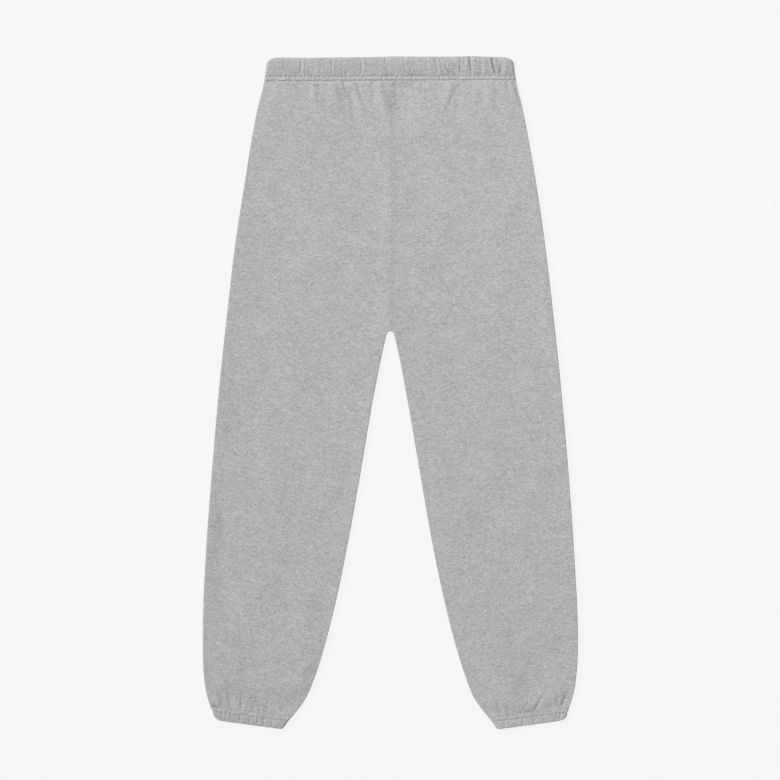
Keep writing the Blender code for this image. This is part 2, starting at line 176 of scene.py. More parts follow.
# Pleats of the casings: where each crosses the free edge and the stitching, its height (a trough is below
# nought), its half width, the shares of the depth between which it runs, and how its path bends, if it does
PLEAT_COLUMNS = ("free_x", "sewn_x", "height", "half_width", "low", "high", "bend")
PLEAT_RISE, PLEAT_END, PAST_STITCHES = 0.14, 0.22, 1.2
PLEATS = {"waistband": (
    (-189.8, -190.4, -1, 1.6, 0.2, 0.9), (-171.6, -171, -0.35, 2, 0.3, 0.8),
    (-152.9, -152, -0.3, 2, 0.3, 0.8), (-137.4, -139.8, -1.15, 1.4, 0.2, 1.04),
    (-133.6, -135.4, 0.5, 2.2, 0.25, 1), (-126.4, -120.6, -1, 1.4, 0.16, 0.4),
    (-114, -111.2, -0.7, 1.3, 0.14, 0.34), (-101.4, -95.6, -1, 1.4, 0.16, 0.38),
    (-108.1, -109, -0.5, 1.8, 0.2, 0.65), (-89, -91.6, -0.75, 1.6, 0.2, 1),
    (-85.4, -87.4, 0.35, 2.2, 0.2, 1), (-84.5, -79.5, -0.9, 1.4, 0.16, 0.34),
    (-80, -66.6, -1.5, 1.4, 0.16, 0.42), (-54.6, -52.6, -1, 1.4, 0.16, 0.36),
    (-60, -60.4, -0.4, 1.8, 0.2, 0.65), (-45.2, -44.7, -0.9, 1.5, 0.2, 1.04),
    (-40.5, -40.5, 0.6, 2.5, 0.3, 1), (-18.5, -18.5, -0.6, 1.8, 0.2, 1),
    (-7.8, -7.4, -1.5, 1.5, 0.66, 1.06), (20.2, 27.6, -1.3, 1.5, 0.2, 1.04, 2),
    (24.4, 31.6, 0.4, 2.2, 0.2, 1, 2), (34.3, 34, -0.5, 1.6, 0.4, 0.8), (55.5, 58.5, -0.5, 1.8, 0.3, 1),
    (68.5, 74.2, -1.1, 1.5, 0.2, 0.95), (72.9, 79.3, 1.1, 1.6, 0.22, 1.02),
    (76.4, 94.4, -1.9, 1.4, 0.16, 0.74), (81.4, 98.6, 1, 1.7, 0.18, 0.76),
    (98.6, 104.5, -1.1, 1.4, 0.2, 0.78), (104, 104.2, 0.6, 1.8, 0.25, 0.8),
    (108.2, 108.5, -1.2, 1.5, 0.22, 1), (117.8, 119.5, 0.8, 2.2, 0.3, 1),
    (123.2, 126.2, -2, 1.25, 0.18, 1.06, 1.5), (129, 132, 0.9, 2.4, 0.25, 1),
    (139.4, 140.8, -1, 1.6, 0.2, 1.04), (145.5, 147, 0.8, 2, 0.25, 1),
    (151, 152.5, -0.6, 1.6, 0.3, 0.95), (157.4, 164, -3.2, 1.3, 0.18, 1.06, 2),
    (162.4, 168.4, 1.2, 1.7, 0.2, 1, 2), (170.5, 171.4, -1.9, 1.6, 0.2, 0.72),
    (178.5, 178.5, 0.6, 2.5, 0.3, 0.9),
), "cuff_left": (
    (-260.8, -260.2, -0.5, 1.4, 0.36, 1), (-254.8, -254, -0.7, 1.4, 0.36, 1),
    (-252, -251.4, 0.5, 1.4, 0.38, 0.98), (-232.2, -231.6, -0.6, 1.5, 0.34, 1.04),
    (-218, -217.1, -0.8, 1.5, 0.34, 1.05), (-214.4, -213.5, 0.3, 1.6, 0.4, 0.98),
    (-205.6, -205, -0.8, 1.5, 0.36, 0.96), (-196.8, -194.8, -0.65, 1.6, 0.36, 1.05),
    (-189.6, -189.2, -0.5, 1.4, 0.36, 0.96), (-184.4, -183.2, -0.6, 1.5, 0.36, 1),
    (-174, -172.5, 0.4, 4, 0.4, 0.92),
), "cuff_right": (
    (177.6, 176.6, -0.8, 1.5, 0.36, 1.04), (190, 190, 0.3, 2.4, 0.4, 0.95),
    (198.6, 198.6, -0.7, 1.4, 0.34, 1), (201.6, 201.5, 0.6, 1.2, 0.36, 0.98),
    (205.4, 205, -0.6, 1.4, 0.34, 1.04), (222.6, 222.4, -1.4, 1.3, 0.5, 0.9),
    (238, 238, -0.15, 1.6, 0.4, 0.92), (255.4, 255.6, -1, 1.4, 0.56, 1.05),
    (262.6, 262.4, -0.6, 1.5, 0.36, 0.85),
)}

# The same for the layer that lies below, which has troughs only, because it rests on them
UNDER_PLEATS = {"waistband": (
    (-164, -166, -1.1, 1.7, 0.22, 1.04), (-149, -149, -0.7, 1.9, 0.22, 0.9),
    (-128, -122, -1.3, 1.6, 0.22, 1.04, 2), (-101, -101, -0.6, 2, 0.22, 0.8),
    (-83, -86, -0.9, 1.8, 0.22, 1.04), (-55, -54, -1.2, 1.7, 0.22, 1.04),
    (-31, -35, -0.7, 1.8, 0.22, 0.7), (-6, -4, -0.9, 1.9, 0.22, 1.04), (17, 17, -0.6, 1.8, 0.22, 0.9),
    (39, 44, -1.2, 1.6, 0.22, 1.04, 2), (66, 65, -0.8, 1.8, 0.22, 0.8), (92, 90, -1, 1.7, 0.22, 1.04),
    (118, 119, -0.7, 1.9, 0.22, 0.9), (141, 137, -1.3, 1.6, 0.22, 1.04), (169, 170, -0.9, 1.8, 0.22, 1),
), "cuff_left": (
    (-257, -256, -0.8, 1.5, 0.36, 1.04), (-240, -241, -0.9, 1.5, 0.36, 1),
    (-224, -222, -0.7, 1.5, 0.36, 1.04), (-209, -209, -1, 1.4, 0.36, 0.9),
    (-190, -188, -0.8, 1.5, 0.36, 1.04),
), "cuff_right": (
    (181, 179, -0.9, 1.5, 0.36, 1.04), (195, 195, -0.6, 1.5, 0.36, 0.9),
    (213, 215, -1, 1.4, 0.36, 1.04), (232, 231, -0.7, 1.5, 0.36, 1), (252, 253, -0.9, 1.5, 0.36, 1.04),
)}

# Gathers of the back panels: where each begins, passes half way and dies away, its height (a trough is below
# nought), its half widths to each side, and the share of its length over which it swells up, if it does
GATHERS = (
    ("x", "drop", "middle_x", "end_x", "end_drop", "height", "left_width", "right_width", "swell"),
    (-143, 36, -144, -146, 64, -0.5, 2, 5), (-134.5, 36, -134.5, -134.5, 52, -0.3, 1.8, 4),
    (-120.5, 36, -116.5, -111, 100, 1.8, 3.6, 5.5), (-103, 36, -99.5, -95, 66, -0.7, 2.4, 3.5),
    (-96, 36, -84, -78.5, 86, 2.6, 4.2, 5.5), (-74.6, 36, -69, -62, 66, -1.8, 1.5, 3.5),
    (-64, 46, -57.5, -54, 126, -1.8, 3.2, 9, 0.15), (-60, 36, -48, -36, 102, 2.2, 6, 2.8, 0.1),
    (-27, 36, -25.8, -24, 90, -1.5, 3.6, 5, 0.15), (-20.5, 36, -12, -2, 104, 2, 3.2, 7, 0.1),
    (14, 34, 12.5, 9, 126, -2.5, 11, 28, 0.15), (37.5, 36, 28.5, 15.5, 70, -0.3, 2.2, 5),
    (107.2, 36, 95.2, 81, 94, -0.35, 1.8, 4.5), (110, 36, 98, 84, 96, -0.9, 5, 10),
    (117.5, 36, 111.5, 103, 52, -0.3, 1.8, 3), (96, 36, 87, 68, 108, 0.8, 6, 3.4),
    (104, 50, 102.5, 100, 118, -0.7, 4, 8, 0.3), (130, 44, 132, 134, 100, 0.8, 4, 5, 0.2),
    (156, 36, 157, 161.5, 98, 1.5, 9, 4.2), (161.5, 36, 162.5, 167, 98, -0.35, 1.8, 7),
    (179.5, 36, 182, 186, 60, -0.6, 2.2, 3), (185.5, 36, 193.5, 201.5, 92, 1.8, 3.2, 2.2),
    (-267.8, 1008, -267.8, -268.5, 982, 1, 3.6, 3, 0.35),
    (-247.8, 1009, -250.4, -253.8, 966, -0.95, 1.5, 5), (-231.6, 1011, -230.8, -232.8, 970, -1, 1.5, 5),
    (-209.5, 1014, -209.5, -211, 992, -0.4, 3, 6), (-190.4, 1016, -189.7, -189, 980, -0.75, 1.5, 3.5),
    (-168, 1019, -168.6, -169, 1000, -0.5, 1.6, 4), (158, 1024, 153.5, 148.5, 1004, -2.2, 1.6, 3.5),
    (172, 1020, 166, 162, 986, -1.8, 1.5, 5), (217, 1017, 235, 246, 964, -1, 1.2, 6),
    (210.5, 1016, 228.5, 242, 972, 0.3, 3.2, 3.2), (250, 1011, 256.5, 265, 982, -0.6, 4.5, 6),
    (261.6, 1009, 269.4, 277.5, 978, -1.5, 1.4, 4), (272, 1008, 276, 281.5, 986, -0.5, 1.5, 3),
)

# The same for the front panels, which have troughs only, because they lie below
UNDER_GATHERS = (
    ("x", "drop", "middle_x", "end_x", "end_drop", "height", "left_width", "right_width", "swell"),
    (-160, 37, -156, -150, 92, 1, 4, 4), (-124, 37, -116, -106, 122, 1.4, 4, 4),
    (-88, 37, -84, -82, 84, 0.8, 4, 4), (-56, 37, -48, -36, 108, 1.3, 3.8, 3.8),
    (-27, 37, -20, -12, 96, 1, 4, 4), (22, 37, 16, 9, 98, 1.1, 4, 4), (52, 37, 44, 33, 118, 1.4, 3.8, 3.8),
    (88, 37, 86, 80, 86, 0.8, 4, 4), (121, 37, 110, 98, 124, 1.4, 4, 4), (158, 37, 156, 150, 90, 0.9, 4, 4),
    (-258, 1008, -260, -262, 974, 0.9, 2.6, 2.6), (-228, 1012, -227, -228, 970, 1.2, 2.6, 2.6),
    (-198, 1016, -200, -203, 984, 0.9, 2.6, 2.6), (176, 1018, 172, 168, 986, 0.9, 2.6, 2.6),
    (205, 1015, 208, 214, 968, 1.2, 2.6, 2.6), (244, 1010, 249, 256, 976, 1, 2.6, 2.6),
)

# The share of its length from which a gather fades, and by how much of its width it widens
GATHER_FADE_FROM, GATHER_WIDENING = 0.4, 0.4

# Ripples: their height, the seed that draws them, to which a casing adds its own, their shortest and longest
# wavelength, how far they lean, and how many cosines they sum
RIPPLES = (
    ("name", "height", "seed", "shortest", "longest", "lean", "count"),
    ("waves", 0.3, 3, 60, 150, 1, 14),
    ("centre_seam", 0.25, 12, 8, 19, 0.8, 14),
    ("below_waistband", 0.14, 21, 7, 17, 0.35, 14),
    ("above_cuff", 0.16, 22, 6, 14, 0.35, 14),
    ("elastic", 0.07, 0, 5.5, 12, 0.15, 20),
    ("stitches", 0.28, 1, 3.5, 8, 0.5, 20),
    ("channel", 0.2, 3, 16, 50, 0, 9),
    ("lumps", 0.28, 4, 6, 24, 0, 12),
)

# Pinches along the seams: their seed, between where they lie, and their mean spacing. Then the least and
# most spacing as a share of the mean, depth and half width
PINCHES = (
    ("name", "seed", "first", "last", "spacing"),
    ("waistband", 5, -186, 188, 12),
    ("cuff_left", 6, -270, -160, 9),
    ("cuff_right", 7, 160, 270, 9),
    ("centre_seam", 11, 40, 413.3, 11),
)
PINCH_SPACINGS, PINCH_DEPTHS, PINCH_WIDTHS = (0.4, 1.6), (0.3, 1.0), (0.9, 1.9)
SPARE_PINCHES = 1.5

# The rows of a leg panel's grid: from each drop on, their spacing
BACK_ROW_STEPS = (
    (0, 1.4), (62, 2.3), (104, 4.2), (140, 6.5), (408, 3), (434, 4), (448, 6.5), (935, 4), (965, 2),
    (990, 1.3),
)
FRONT_ROW_STEPS = (
    (0, 2), (62, 3.5), (104, 7), (140, 12), (408, 4), (434, 6), (448, 12), (935, 5), (965, 3), (990, 2),
)
CROTCH_ROWS = (
    419.6, 420.6, 421.1, 421.8, 422.6, 423.4, 424.1, 424.6, 425, 425.2, CROTCH_DROP, 425.4, 425.6, 425.9,
    426.3, 426.9, 427.6, 428.5, 429.5, ARCH_END, 432,
)
CROTCH_ROWS_CLEAR = 0.5
ROW_LEAN_POWER, WAIST_ROWS_REACH = 1.5, 60.0

# Its columns: the angles round a fold's turn, the distances from the edge where it eases out, and how many
# lie between
FOLD_ANGLES = (0.0, 10.0, 22.0, 36.0, 52.0, 70.0, 90.0)
EASING_COLUMNS = (
    1.8, 2.8, 3.8, 4.9, 6, 7.2, 8.4, 9.6, 10.8, 12, 13.3, 14.6, 15.9, 17.3, 18.7, 20.2, 22, 24,
    FOLD_REACH,
)
BACK_COLUMNS, FRONT_COLUMNS = 142, 84

# The angles of a casing's grid round its folds, and how much wider its grid is on the layer that lies below
CASING_FOLD_ANGLES = np.arange(78, -79, -12)
UNDER_STEP = 1.7

# How far above, below and along both inseams their nearest point is looked for round the crotch
CROTCH_ABOVE, CROTCH_BELOW, FAR_AWAY = 34.0, 22.0, 1000.0
CROTCH_ALONG, CROTCH_POINTS = 56.0, 220

# Where the pieces lie in the fleece's pattern, so that no two show the same part, and how far its grain leans
PANEL_PATTERN, FRONT_PATTERN, CASING_PATTERN = 47.0, 17.0, 104.0
GRAIN_LEAN = 0.1

CREASE_ANGLE = 60.0
TINY = 1e-9


def rows_of(table, defaults=()):
    """The rows of a table, each with its columns as named values. The last ones may have defaults."""
    row = namedtuple("Row", table[0], defaults=defaults)
    return [row(*values) for values in table[1:]]


def column_of(table, name):
    """One column of a table of numbers."""
    return np.array([getattr(row, name) for row in rows_of(table)])


def curve_through(table, name, at):
    """A smooth curve through one column of a table, against its first column: a cubic between each two rows,
    whose slope at a row comes from the rows beside it."""
    knots, values = column_of(table, table[0][0]), column_of(table, name)
    slopes = np.gradient(values, knots)
    at = np.clip(at, knots[0], knots[-1])
    row = np.clip(np.searchsorted(knots, at) - 1, 0, len(knots) - 2)
    step = knots[row + 1] - knots[row]
    t = (at - knots[row]) / step
    start = (1 + 2 * t) * (1 - t) ** 2 * values[row] + t * (1 - t) ** 2 * step * slopes[row]
    end = t**2 * (3 - 2 * t) * values[row + 1] - t**2 * (1 - t) * step * slopes[row + 1]
    return start + end


def fading(distance, reach):
    """1 at no distance, easing to 0 at the reach."""
    t = np.clip(distance / reach, 0.0, 1.0)
    return (1 - t) ** 2 * (1 + 2 * t)


def bell(distance, half_width):
    """A bell: e to the power of minus the square of distance over half width."""
    return np.exp(-((distance / half_width) ** 2))


def drop_on_line(start, end, x):
    """The drop, at x, of the straight line between two (x, drop) points."""
    return start[1] + (end[1] - start[1]) * (x - start[0]) / (end[0] - start[0])


def ripples(name, along, across, casing_seed=0, coarseness=1.0):
    """Uneven ripples: the sum of cosines whose wavelengths, leans and phases are drawn from the seed, over
    the square root of half their number, times their height."""
    kind = {row.name: row for row in rows_of(RIPPLES)}[name]
    draw = np.random.default_rng(kind.seed + casing_seed)
    height = np.zeros(np.broadcast(along, across).shape)
    for _ in range(kind.count):
        wave = 2 * math.pi / draw.uniform(kind.shortest * coarseness, kind.longest * coarseness)
        leaning = along + draw.uniform(-kind.lean, kind.lean) * across
        height += np.cos(wave * leaning + draw.uniform(0, 2 * math.pi))
    return kind.height * (height / math.sqrt(kind.count / 2))


def pinched(name, along):
    """Depth of the pinches along a seam: a sum of bells whose places, depths and half widths are drawn."""
    run = {row.name: row for row in rows_of(PINCHES)}[name]
    draw = np.random.default_rng(run.seed)
    count = int((run.last - run.first) / run.spacing * SPARE_PINCHES)
    places = run.first + np.cumsum(draw.uniform(*PINCH_SPACINGS, count) * run.spacing)
    places = places[places < run.last]
    depths, half_widths = draw.uniform(*PINCH_DEPTHS, len(places)), draw.uniform(*PINCH_WIDTHS, len(places))
    depth = np.zeros(along.shape)
    for place, most, half_width in zip(places, depths, half_widths):
        depth += most * bell(along - place, half_width)
    return depth


# Meshes


def quads(index, turned):
    """Faces between neighbouring points of a grid of point numbers."""
    a, b, c, d = index[:-1, :-1], index[:-1, 1:], index[1:, 1:], index[1:, :-1]
    corners = (a, d, c, b) if turned else (a, b, c, d)
    return np.stack([corner.ravel() for corner in corners], axis=1)


def grid_normals(points, closed):
    """Unit normals of a grid of points: the cross product of its two directions, each taken between the
    neighbours on both sides."""
    if closed:
        down = np.roll(points, -1, axis=0) - np.roll(points, 1, axis=0)
        across = np.roll(points, -1, axis=1) - np.roll(points, 1, axis=1)
    else:
        down, across = np.gradient(points, axis=0), np.gradient(points, axis=1)
    normals = np.cross(down, across)
    return normals / np.maximum(np.linalg.norm(normals, axis=-1, keepdims=True), TINY)


def add_object(name, data):
    """Adds an object to the scene."""
    added = bpy.data.objects.new(name, data)
    bpy.context.scene.collection.objects.link(added)
    return added


def add_piece(name, points, faces, cloth, material):
    """Adds one closed piece. The points are (x, drop, z) in millimetres, and cloth is where each lies in the
    flat cloth, which its pattern follows."""
    x, drop, z = points.reshape(-1, 3).T
    placed = np.stack([x, GARMENT_LENGTH / 2 - drop, z], axis=1) * MM
    mesh = bpy.data.meshes.new(name)
    mesh.from_pydata(placed, [], faces)
    mesh.update()
    mesh.shade_smooth()
    mesh.set_sharp_from_angle(angle=math.radians(CREASE_ANGLE))
    if cloth is not None:
        lies = mesh.attributes.new("cloth", "FLOAT_VECTOR", "POINT")
        lies.data.foreach_set("vector", (cloth.reshape(-1, 3) * MM).ravel())
    mesh.materials.append(material)
    return add_object(name, mesh)


# Leg panels


def seam_x(drop):
    """Where the centre seam runs."""
    return curve_through(CENTRE_SEAM, "x", drop)


def inseam_x(name, drop):
    """Where an inseam runs: a quarter ellipse from the crotch to the end of the arch, then its table."""
    share = np.clip((drop - CROTCH_DROP) / (ARCH_END - CROTCH_DROP), 0.0, 1.0)
    crotch = CENTRE_SEAM[-1][1]
    below = curve_through(INSEAMS, name, np.maximum(drop, ARCH_END))
    return crotch + (below - crotch) * np.sqrt(1 - (1 - share) ** 2)


def distance_from(line, across, along):
    """Distance of each point from the line across = line(along), measured square to it."""
    slope = line(along + 0.5) - line(along - 0.5)
    return np.abs(across - line(along)) / np.sqrt(1 + slope**2)


def distance_from_inseams(name, x, drop):
    """Distance of each point from the inseams: near the crotch the least distance to points along both of
    them, and below that the distance from the panel's own."""
    distance = np.full(x.shape, FAR_AWAY)
    below = drop > CROTCH_DROP + CROTCH_BELOW
    distance[below] = distance_from(lambda at: inseam_x(name, at), x[below], drop[below])
    near = (np.abs(drop - CROTCH_DROP) < CROTCH_ABOVE) & ~below
    along = CROTCH_DROP + CROTCH_ALONG * np.linspace(0, 1, CROTCH_POINTS) ** 2
    line_x = np.concatenate([inseam_x("left", along), inseam_x("right", along)])
    line_drop = np.tile(along, 2)
    apart = np.hypot(x[near][:, None] - line_x, drop[near][:, None] - line_drop)
    distance[near] = apart.min(axis=1)
    return distance


def distance_from_casing(shape, x, drop):
    """Distance of each point from a casing's sewn line."""
    return distance_from(lambda at: drop_on_line(shape.left_seam, shape.right_seam, at), drop, x)


def puffed(distance, height, share, crest, reach):
    """Fullness beside a casing: it rises from its share of the height at the seam to its crest, then dies
    away at its reach."""
    rise = 1 - (1 - share) * fading(distance, crest)
    return height * rise * fading(distance - crest, reach - crest)


def gathered(table, x, drop):
    """Height that the gathers add at each point. Each is a bell across a parabola through its three places,
    of its own half width to each side. It widens along its way, and fades over its farther part."""
    height = np.zeros_like(x)
    for gather in rows_of(table, (0.0,)):
        length = gather.end_drop - gather.drop
        share = np.clip((drop - gather.drop) / length, -0.2, 1.0)
        bow = 4 * (gather.middle_x - (gather.x + gather.end_x) / 2)
        middle = gather.x + (gather.end_x - gather.x) * share + bow * share * (1 - share)
        slope = (gather.end_x - gather.x + bow * (1 - 2 * share)) / length
        across = (x - middle) / np.sqrt(1 + slope**2)
        swell = 1 - fading(share, gather.swell) if gather.swell else 1.0
        fade = fading(share - GATHER_FADE_FROM, 1 - GATHER_FADE_FROM)
        half_width = np.where(across < 0, gather.left_width, gather.right_width)
        height += gather.height * swell * fade * bell(across, half_width * (1 + GATHER_WIDENING * share))
    return height


def row_drops(steps, first, last):
    """The drops of a panel's rows: evenly spaced within each stretch, and close together at the crotch."""
    starts = [step[0] for step in steps] + [math.inf]
    drops = []
    for (start, spacing), end in zip(steps, starts[1:]):
        low, high = max(start, first), min(end, last)
        if low < high:
            drops.append(np.linspace(low, high, max(2, round((high - low) / spacing) + 1))[:-1])
    drops = np.concatenate([*drops, [last]])
    above = drops < CROTCH_ROWS[0] - CROTCH_ROWS_CLEAR
    drops = drops[above | (drops > CROTCH_ROWS[-1] + CROTCH_ROWS_CLEAR)]
    return np.sort(np.concatenate([drops, CROTCH_ROWS]))


def panel_plan(side, steps, columns):
    """The x and drop of each point of a leg panel's grid. Its rows run from the side seam inwards, along the
    waistband at the top, level at the hips, and more and more along the ankle casing down the leg."""
    name = "left" if side < 0 else "right"
    waist_outer = waistband.left_seam if side < 0 else waistband.right_seam
    cuff = cuff_left if side < 0 else cuff_right
    cuff_outer, cuff_inner = (cuff.left_seam, cuff.right_seam)[:: 1 if side < 0 else -1]
    first, last = waist_outer[1] + MEETING_GAP, cuff_outer[1] - MEETING_GAP
    outer_drop = row_drops(steps, first, last)
    lean = np.clip((outer_drop - ARCH_END) / (last - ARCH_END), 0.0, 1.0) ** ROW_LEAN_POWER
    waist_middle = drop_on_line(waistband.left_seam, waistband.right_seam, CENTRE_SEAM[1][1])
    inner_drop = outer_drop + lean * (cuff_inner[1] - cuff_outer[1])
    inner_drop += (waist_middle - waist_outer[1]) * fading(outer_drop - first, WAIST_ROWS_REACH)
    inner_x = np.where(
        inner_drop <= CROTCH_DROP, seam_x(inner_drop) + side * MEETING_GAP / 2, inseam_x(name, inner_drop)
    )
    outer = np.column_stack([curve_through(SIDE_SEAMS, name, outer_drop), outer_drop])
    inner = np.column_stack([inner_x, inner_drop])
    width = np.linalg.norm(inner - outer, axis=1)[:, None]
    edge = np.concatenate([FOLD_WIDTH * (1 - np.cos(np.radians(FOLD_ANGLES))), EASING_COLUMNS])
    middle = FOLD_REACH + (width - 2 * FOLD_REACH) * np.linspace(0, 1, columns + 2)[1:-1]
    outer_edge = np.broadcast_to(edge, (len(outer), len(edge)))
    reach = np.concatenate([outer_edge, middle, width - edge[::-1]], axis=1)
    plan = outer[:, None] + (reach / width)[..., None] * (inner - outer)[:, None]
    return plan[..., 0], plan[..., 1]


def quarter_turn(distance):
    """Height that a fold's quarter ellipse has gained at that distance from its edge."""
    reach = np.clip(distance / FOLD_WIDTH, 0.0, 1.0)
    return FOLD_HEIGHT * np.sqrt(1 - (1 - reach) ** 2)


def along_centre(drop):
    """1 along the centre seam, easing to 0 a little above the crotch."""
    return fading(drop - (CROTCH_DROP - SEAM_END), SEAM_END_REACH)


def centre_relief(x, drop, waist):
    """Height that the centre seam adds to the back: a swell whose crest lies beside it, less the pinches on
    it, with ripples along both of its sides."""
    from_seam = x - seam_x(drop)
    above = along_centre(drop)
    from_crest = from_seam + SWELL_OFFSET
    swell = SWELL_HEIGHT * bell(from_crest, np.where(from_crest < 0, *SWELL_WIDTHS))
    z = above * (1 - SWELL_CALM * fading(waist, SWELL_CALM_REACH)) * swell
    strong = fading(drop - SEAM_STRONG_TO, SEAM_STRONG_EASE)
    strength = above * (SEAM_LEAST + (1 - SEAM_LEAST) * strong)
    z -= SEAM_PINCH * strength * pinched("centre_seam", drop) * bell(from_seam, SEAM_WIDTH)
    beside = bell(np.abs(from_seam) - SEAM_RIPPLES_AT, SEAM_RIPPLES_WIDTH)
    return z + strength * ripples("centre_seam", drop, from_seam) * beside


def casings_beside(name, x, drop):
    """The waistband and the ankle casing of a leg, each with the distance of each point from it."""
    cuff = cuff_left if name == "left" else cuff_right
    return [(shape, distance_from_casing(shape, x, drop)) for shape in (waistband, cuff)]


def back_height(name, x, drop, outer, inner):
    """Height of a back panel's outer face: its level and fullness, faint waves, the folds at its edges, the
    centre seam, the gathers and ripples, and how it meets the casings, with the pinches there. Outer and
    inner are the distances from its edges."""
    beside = casings_beside(name, x, drop)
    edge = np.minimum(outer, inner)
    within = 1 - fading(edge, GATHER_EASE)
    level = BACK_LEVEL + sum(puffed(distance, *shape.fullness) for shape, distance in beside)
    z = level + ripples("waves", x, drop) * (1 - fading(edge, WAVE_EASE))
    side_press, centre, length = PRESSED_SIDES[name]
    outer_press = side_press * fading(np.abs(drop - centre), length)
    inner_press = PRESSED_INSEAMS[name] * (1 - fading(drop - ARCH_END, INSEAM_PRESS_EASE))
    for distance, press in ((outer, outer_press), (inner, inner_press)):
        turned = FOLD_HEIGHT + quarter_turn(distance) * (1 - press) - level
        easing = fading(distance - FOLD_WIDTH, FOLD_REACH - FOLD_WIDTH)
        z += np.where(distance < FOLD_WIDTH, turned, (FOLD_HEIGHT * (2 - press) - level) * easing)
    z += centre_relief(x, drop, beside[0][1])
    lift = gathered(GATHERS, x, drop)
    for kind, (shape, distance) in zip(("below_waistband", "above_cuff"), beside):
        lift += ripples(kind, x, drop) * fading(distance, shape.ripples)
    z += lift * within
    for shape, distance in beside:
        height, reach = shape.meeting
        z += (height - z) * fading(distance, reach) * within
    pinches = sum(pinched(shape.name, x) * fading(distance, shape.pinches) for shape, distance in beside)
    nearest = np.minimum(beside[0][1], beside[1][1])
    z -= BACK_PINCH * pinches * (1 - PINCH_CALM * fading(nearest, PINCH_CALM_REACH))
    return np.where(edge > FOLD_WIDTH, np.maximum(z, LOWEST_BACK), z)


def front_height(name, x, drop, outer, inner):
    """Height of a front panel's outer face: nothing, apart from the troughs of its gathers, its pinches, its
    rise to the casings, the groove of the centre seam and the folds at its edges."""
    (_, waist), (_, ankle) = casings_beside(name, x, drop)
    z = gathered(UNDER_GATHERS, x, drop) * (1 - fading(np.minimum(outer, inner), GATHER_EASE))
    z += FRONT_PINCH * pinched("waistband", x) * fading(waist, waistband.pinches)
    z += FRONT_RISE * fading(np.minimum(waist, ankle), FRONT_RISE_REACH) ** 2
    z += FRONT_GROOVE * along_centre(drop) * bell(x - seam_x(drop), SEAM_WIDTH)
    for distance in (outer, inner):
        z += np.where(distance < FOLD_WIDTH, FOLD_HEIGHT - quarter_turn(distance), 0.0)
    return z


def leg_panel(name, side, is_back, material):
    """One leg panel: a closed shell of cloth between the side seam and the centre seam or inseam. Its outer
    face tucks in at the seams, and its inner face lies the cloth's thickness in, clear of the other layer."""
    sided = "left" if side < 0 else "right"
    steps, columns = (BACK_ROW_STEPS, BACK_COLUMNS) if is_back else (FRONT_ROW_STEPS, FRONT_COLUMNS)
    x, drop = panel_plan(side, steps, columns)
    outer = distance_from(lambda at: curve_through(SIDE_SEAMS, sided, at), x, drop)
    inner = distance_from_inseams(sided, x, drop)
    outer[:, 0] = 0.0
    inner[drop[:, -1] >= CROTCH_DROP, -1] = 0.0
    z = (back_height if is_back else front_height)(sided, x, drop, outer, inner)
    face = np.stack([x, drop, z], axis=-1)
    normals = grid_normals(face, False)
    normals *= (1 if is_back else -1) * np.sign(normals[..., 2].mean())
    run = np.linalg.norm(np.diff(face, axis=1), axis=-1)
    run = np.concatenate([np.zeros((len(x), 1)), np.cumsum(run, axis=1)], axis=1)
    tuck = SEAM_TUCK * bell(run, SEAM_TUCK_WIDTH)
    tuck += SEAM_TUCK * bell(run[:, -1:] - run, SEAM_TUCK_WIDTH) * (drop[:, -1:] > ARCH_END)
    face -= tuck[..., None] * normals
    thickness = CLOTH - (CLOTH - FOLD_CLOTH) * fading(np.minimum(outer, inner), GATHER_EASE)
    wall = face - thickness[..., None] * normals
    if is_back:
        wall[..., 2] = np.maximum(wall[..., 2], LAYER_MIDDLE)
    else:
        highest = np.maximum(LAYER_MIDDLE - LAYER_GAP, face[..., 2] + LEAST_WALL)
        wall[..., 2] = np.minimum(wall[..., 2], highest)
    half = x.shape[1] // 2
    along = x[:, half : half + 1] - side * (run - run[:, half : half + 1])
    apart = np.full_like(x, PANEL_PATTERN * side + (0.0 if is_back else FRONT_PATTERN))
    cloth = np.stack([along, drop + GRAIN_LEAN * side * along, apart], axis=-1)
    shell = np.array([face, wall])
    index = np.arange(shell[..., 0].size).reshape(shell.shape[:3])
    turned = (side < 0) == is_back
    faces = [quads(index[0], turned), quads(index[1], not turned)]
    faces += [quads(index[:, 0], not turned), quads(index[:, -1], turned)]
    faces += [quads(index[:, :, 0], turned), quads(index[:, :, -1], not turned)]
    return add_piece(name, shell, np.concatenate(faces), np.array([cloth, cloth]), material)


# Waistband and ankle casings


def smooth_section(section, inner, depth, step):
    """A casing's section at even steps: cubics through the table's rows against the distance along them. The
    inner face keeps the rows that it has."""
    rows = np.array(section[1:])
    run = np.hypot(np.diff(rows[:, 0]) * depth, np.diff(rows[:, 1]))
    run = np.concatenate([[0.0], np.cumsum(run)])
    keyed = (("run", *section[0]), *[(at, *row) for at, row in zip(run, section[1:])])
    at = np.linspace(0.0, run[-1], round(run[-1] / step) + 1)
    outer = np.column_stack([curve_through(keyed, name, at) for name in section[0]])
    return np.concatenate([outer, np.array(inner[1:])]), len(outer)


def corner_rounding(depth_share, depth, corner_radius, lean):
    """How far each point of the section moves in at an end: a quarter circle rounds the corner, and the end
    leans in by its lean times a power of the share of the depth."""
    near = np.clip(1 - (1 - depth_share) * depth / corner_radius, 0.0, 1.0)
    return corner_radius * (1 - np.sqrt(1 - near**2)) + lean * depth_share**CORNER_LEAN_POWER


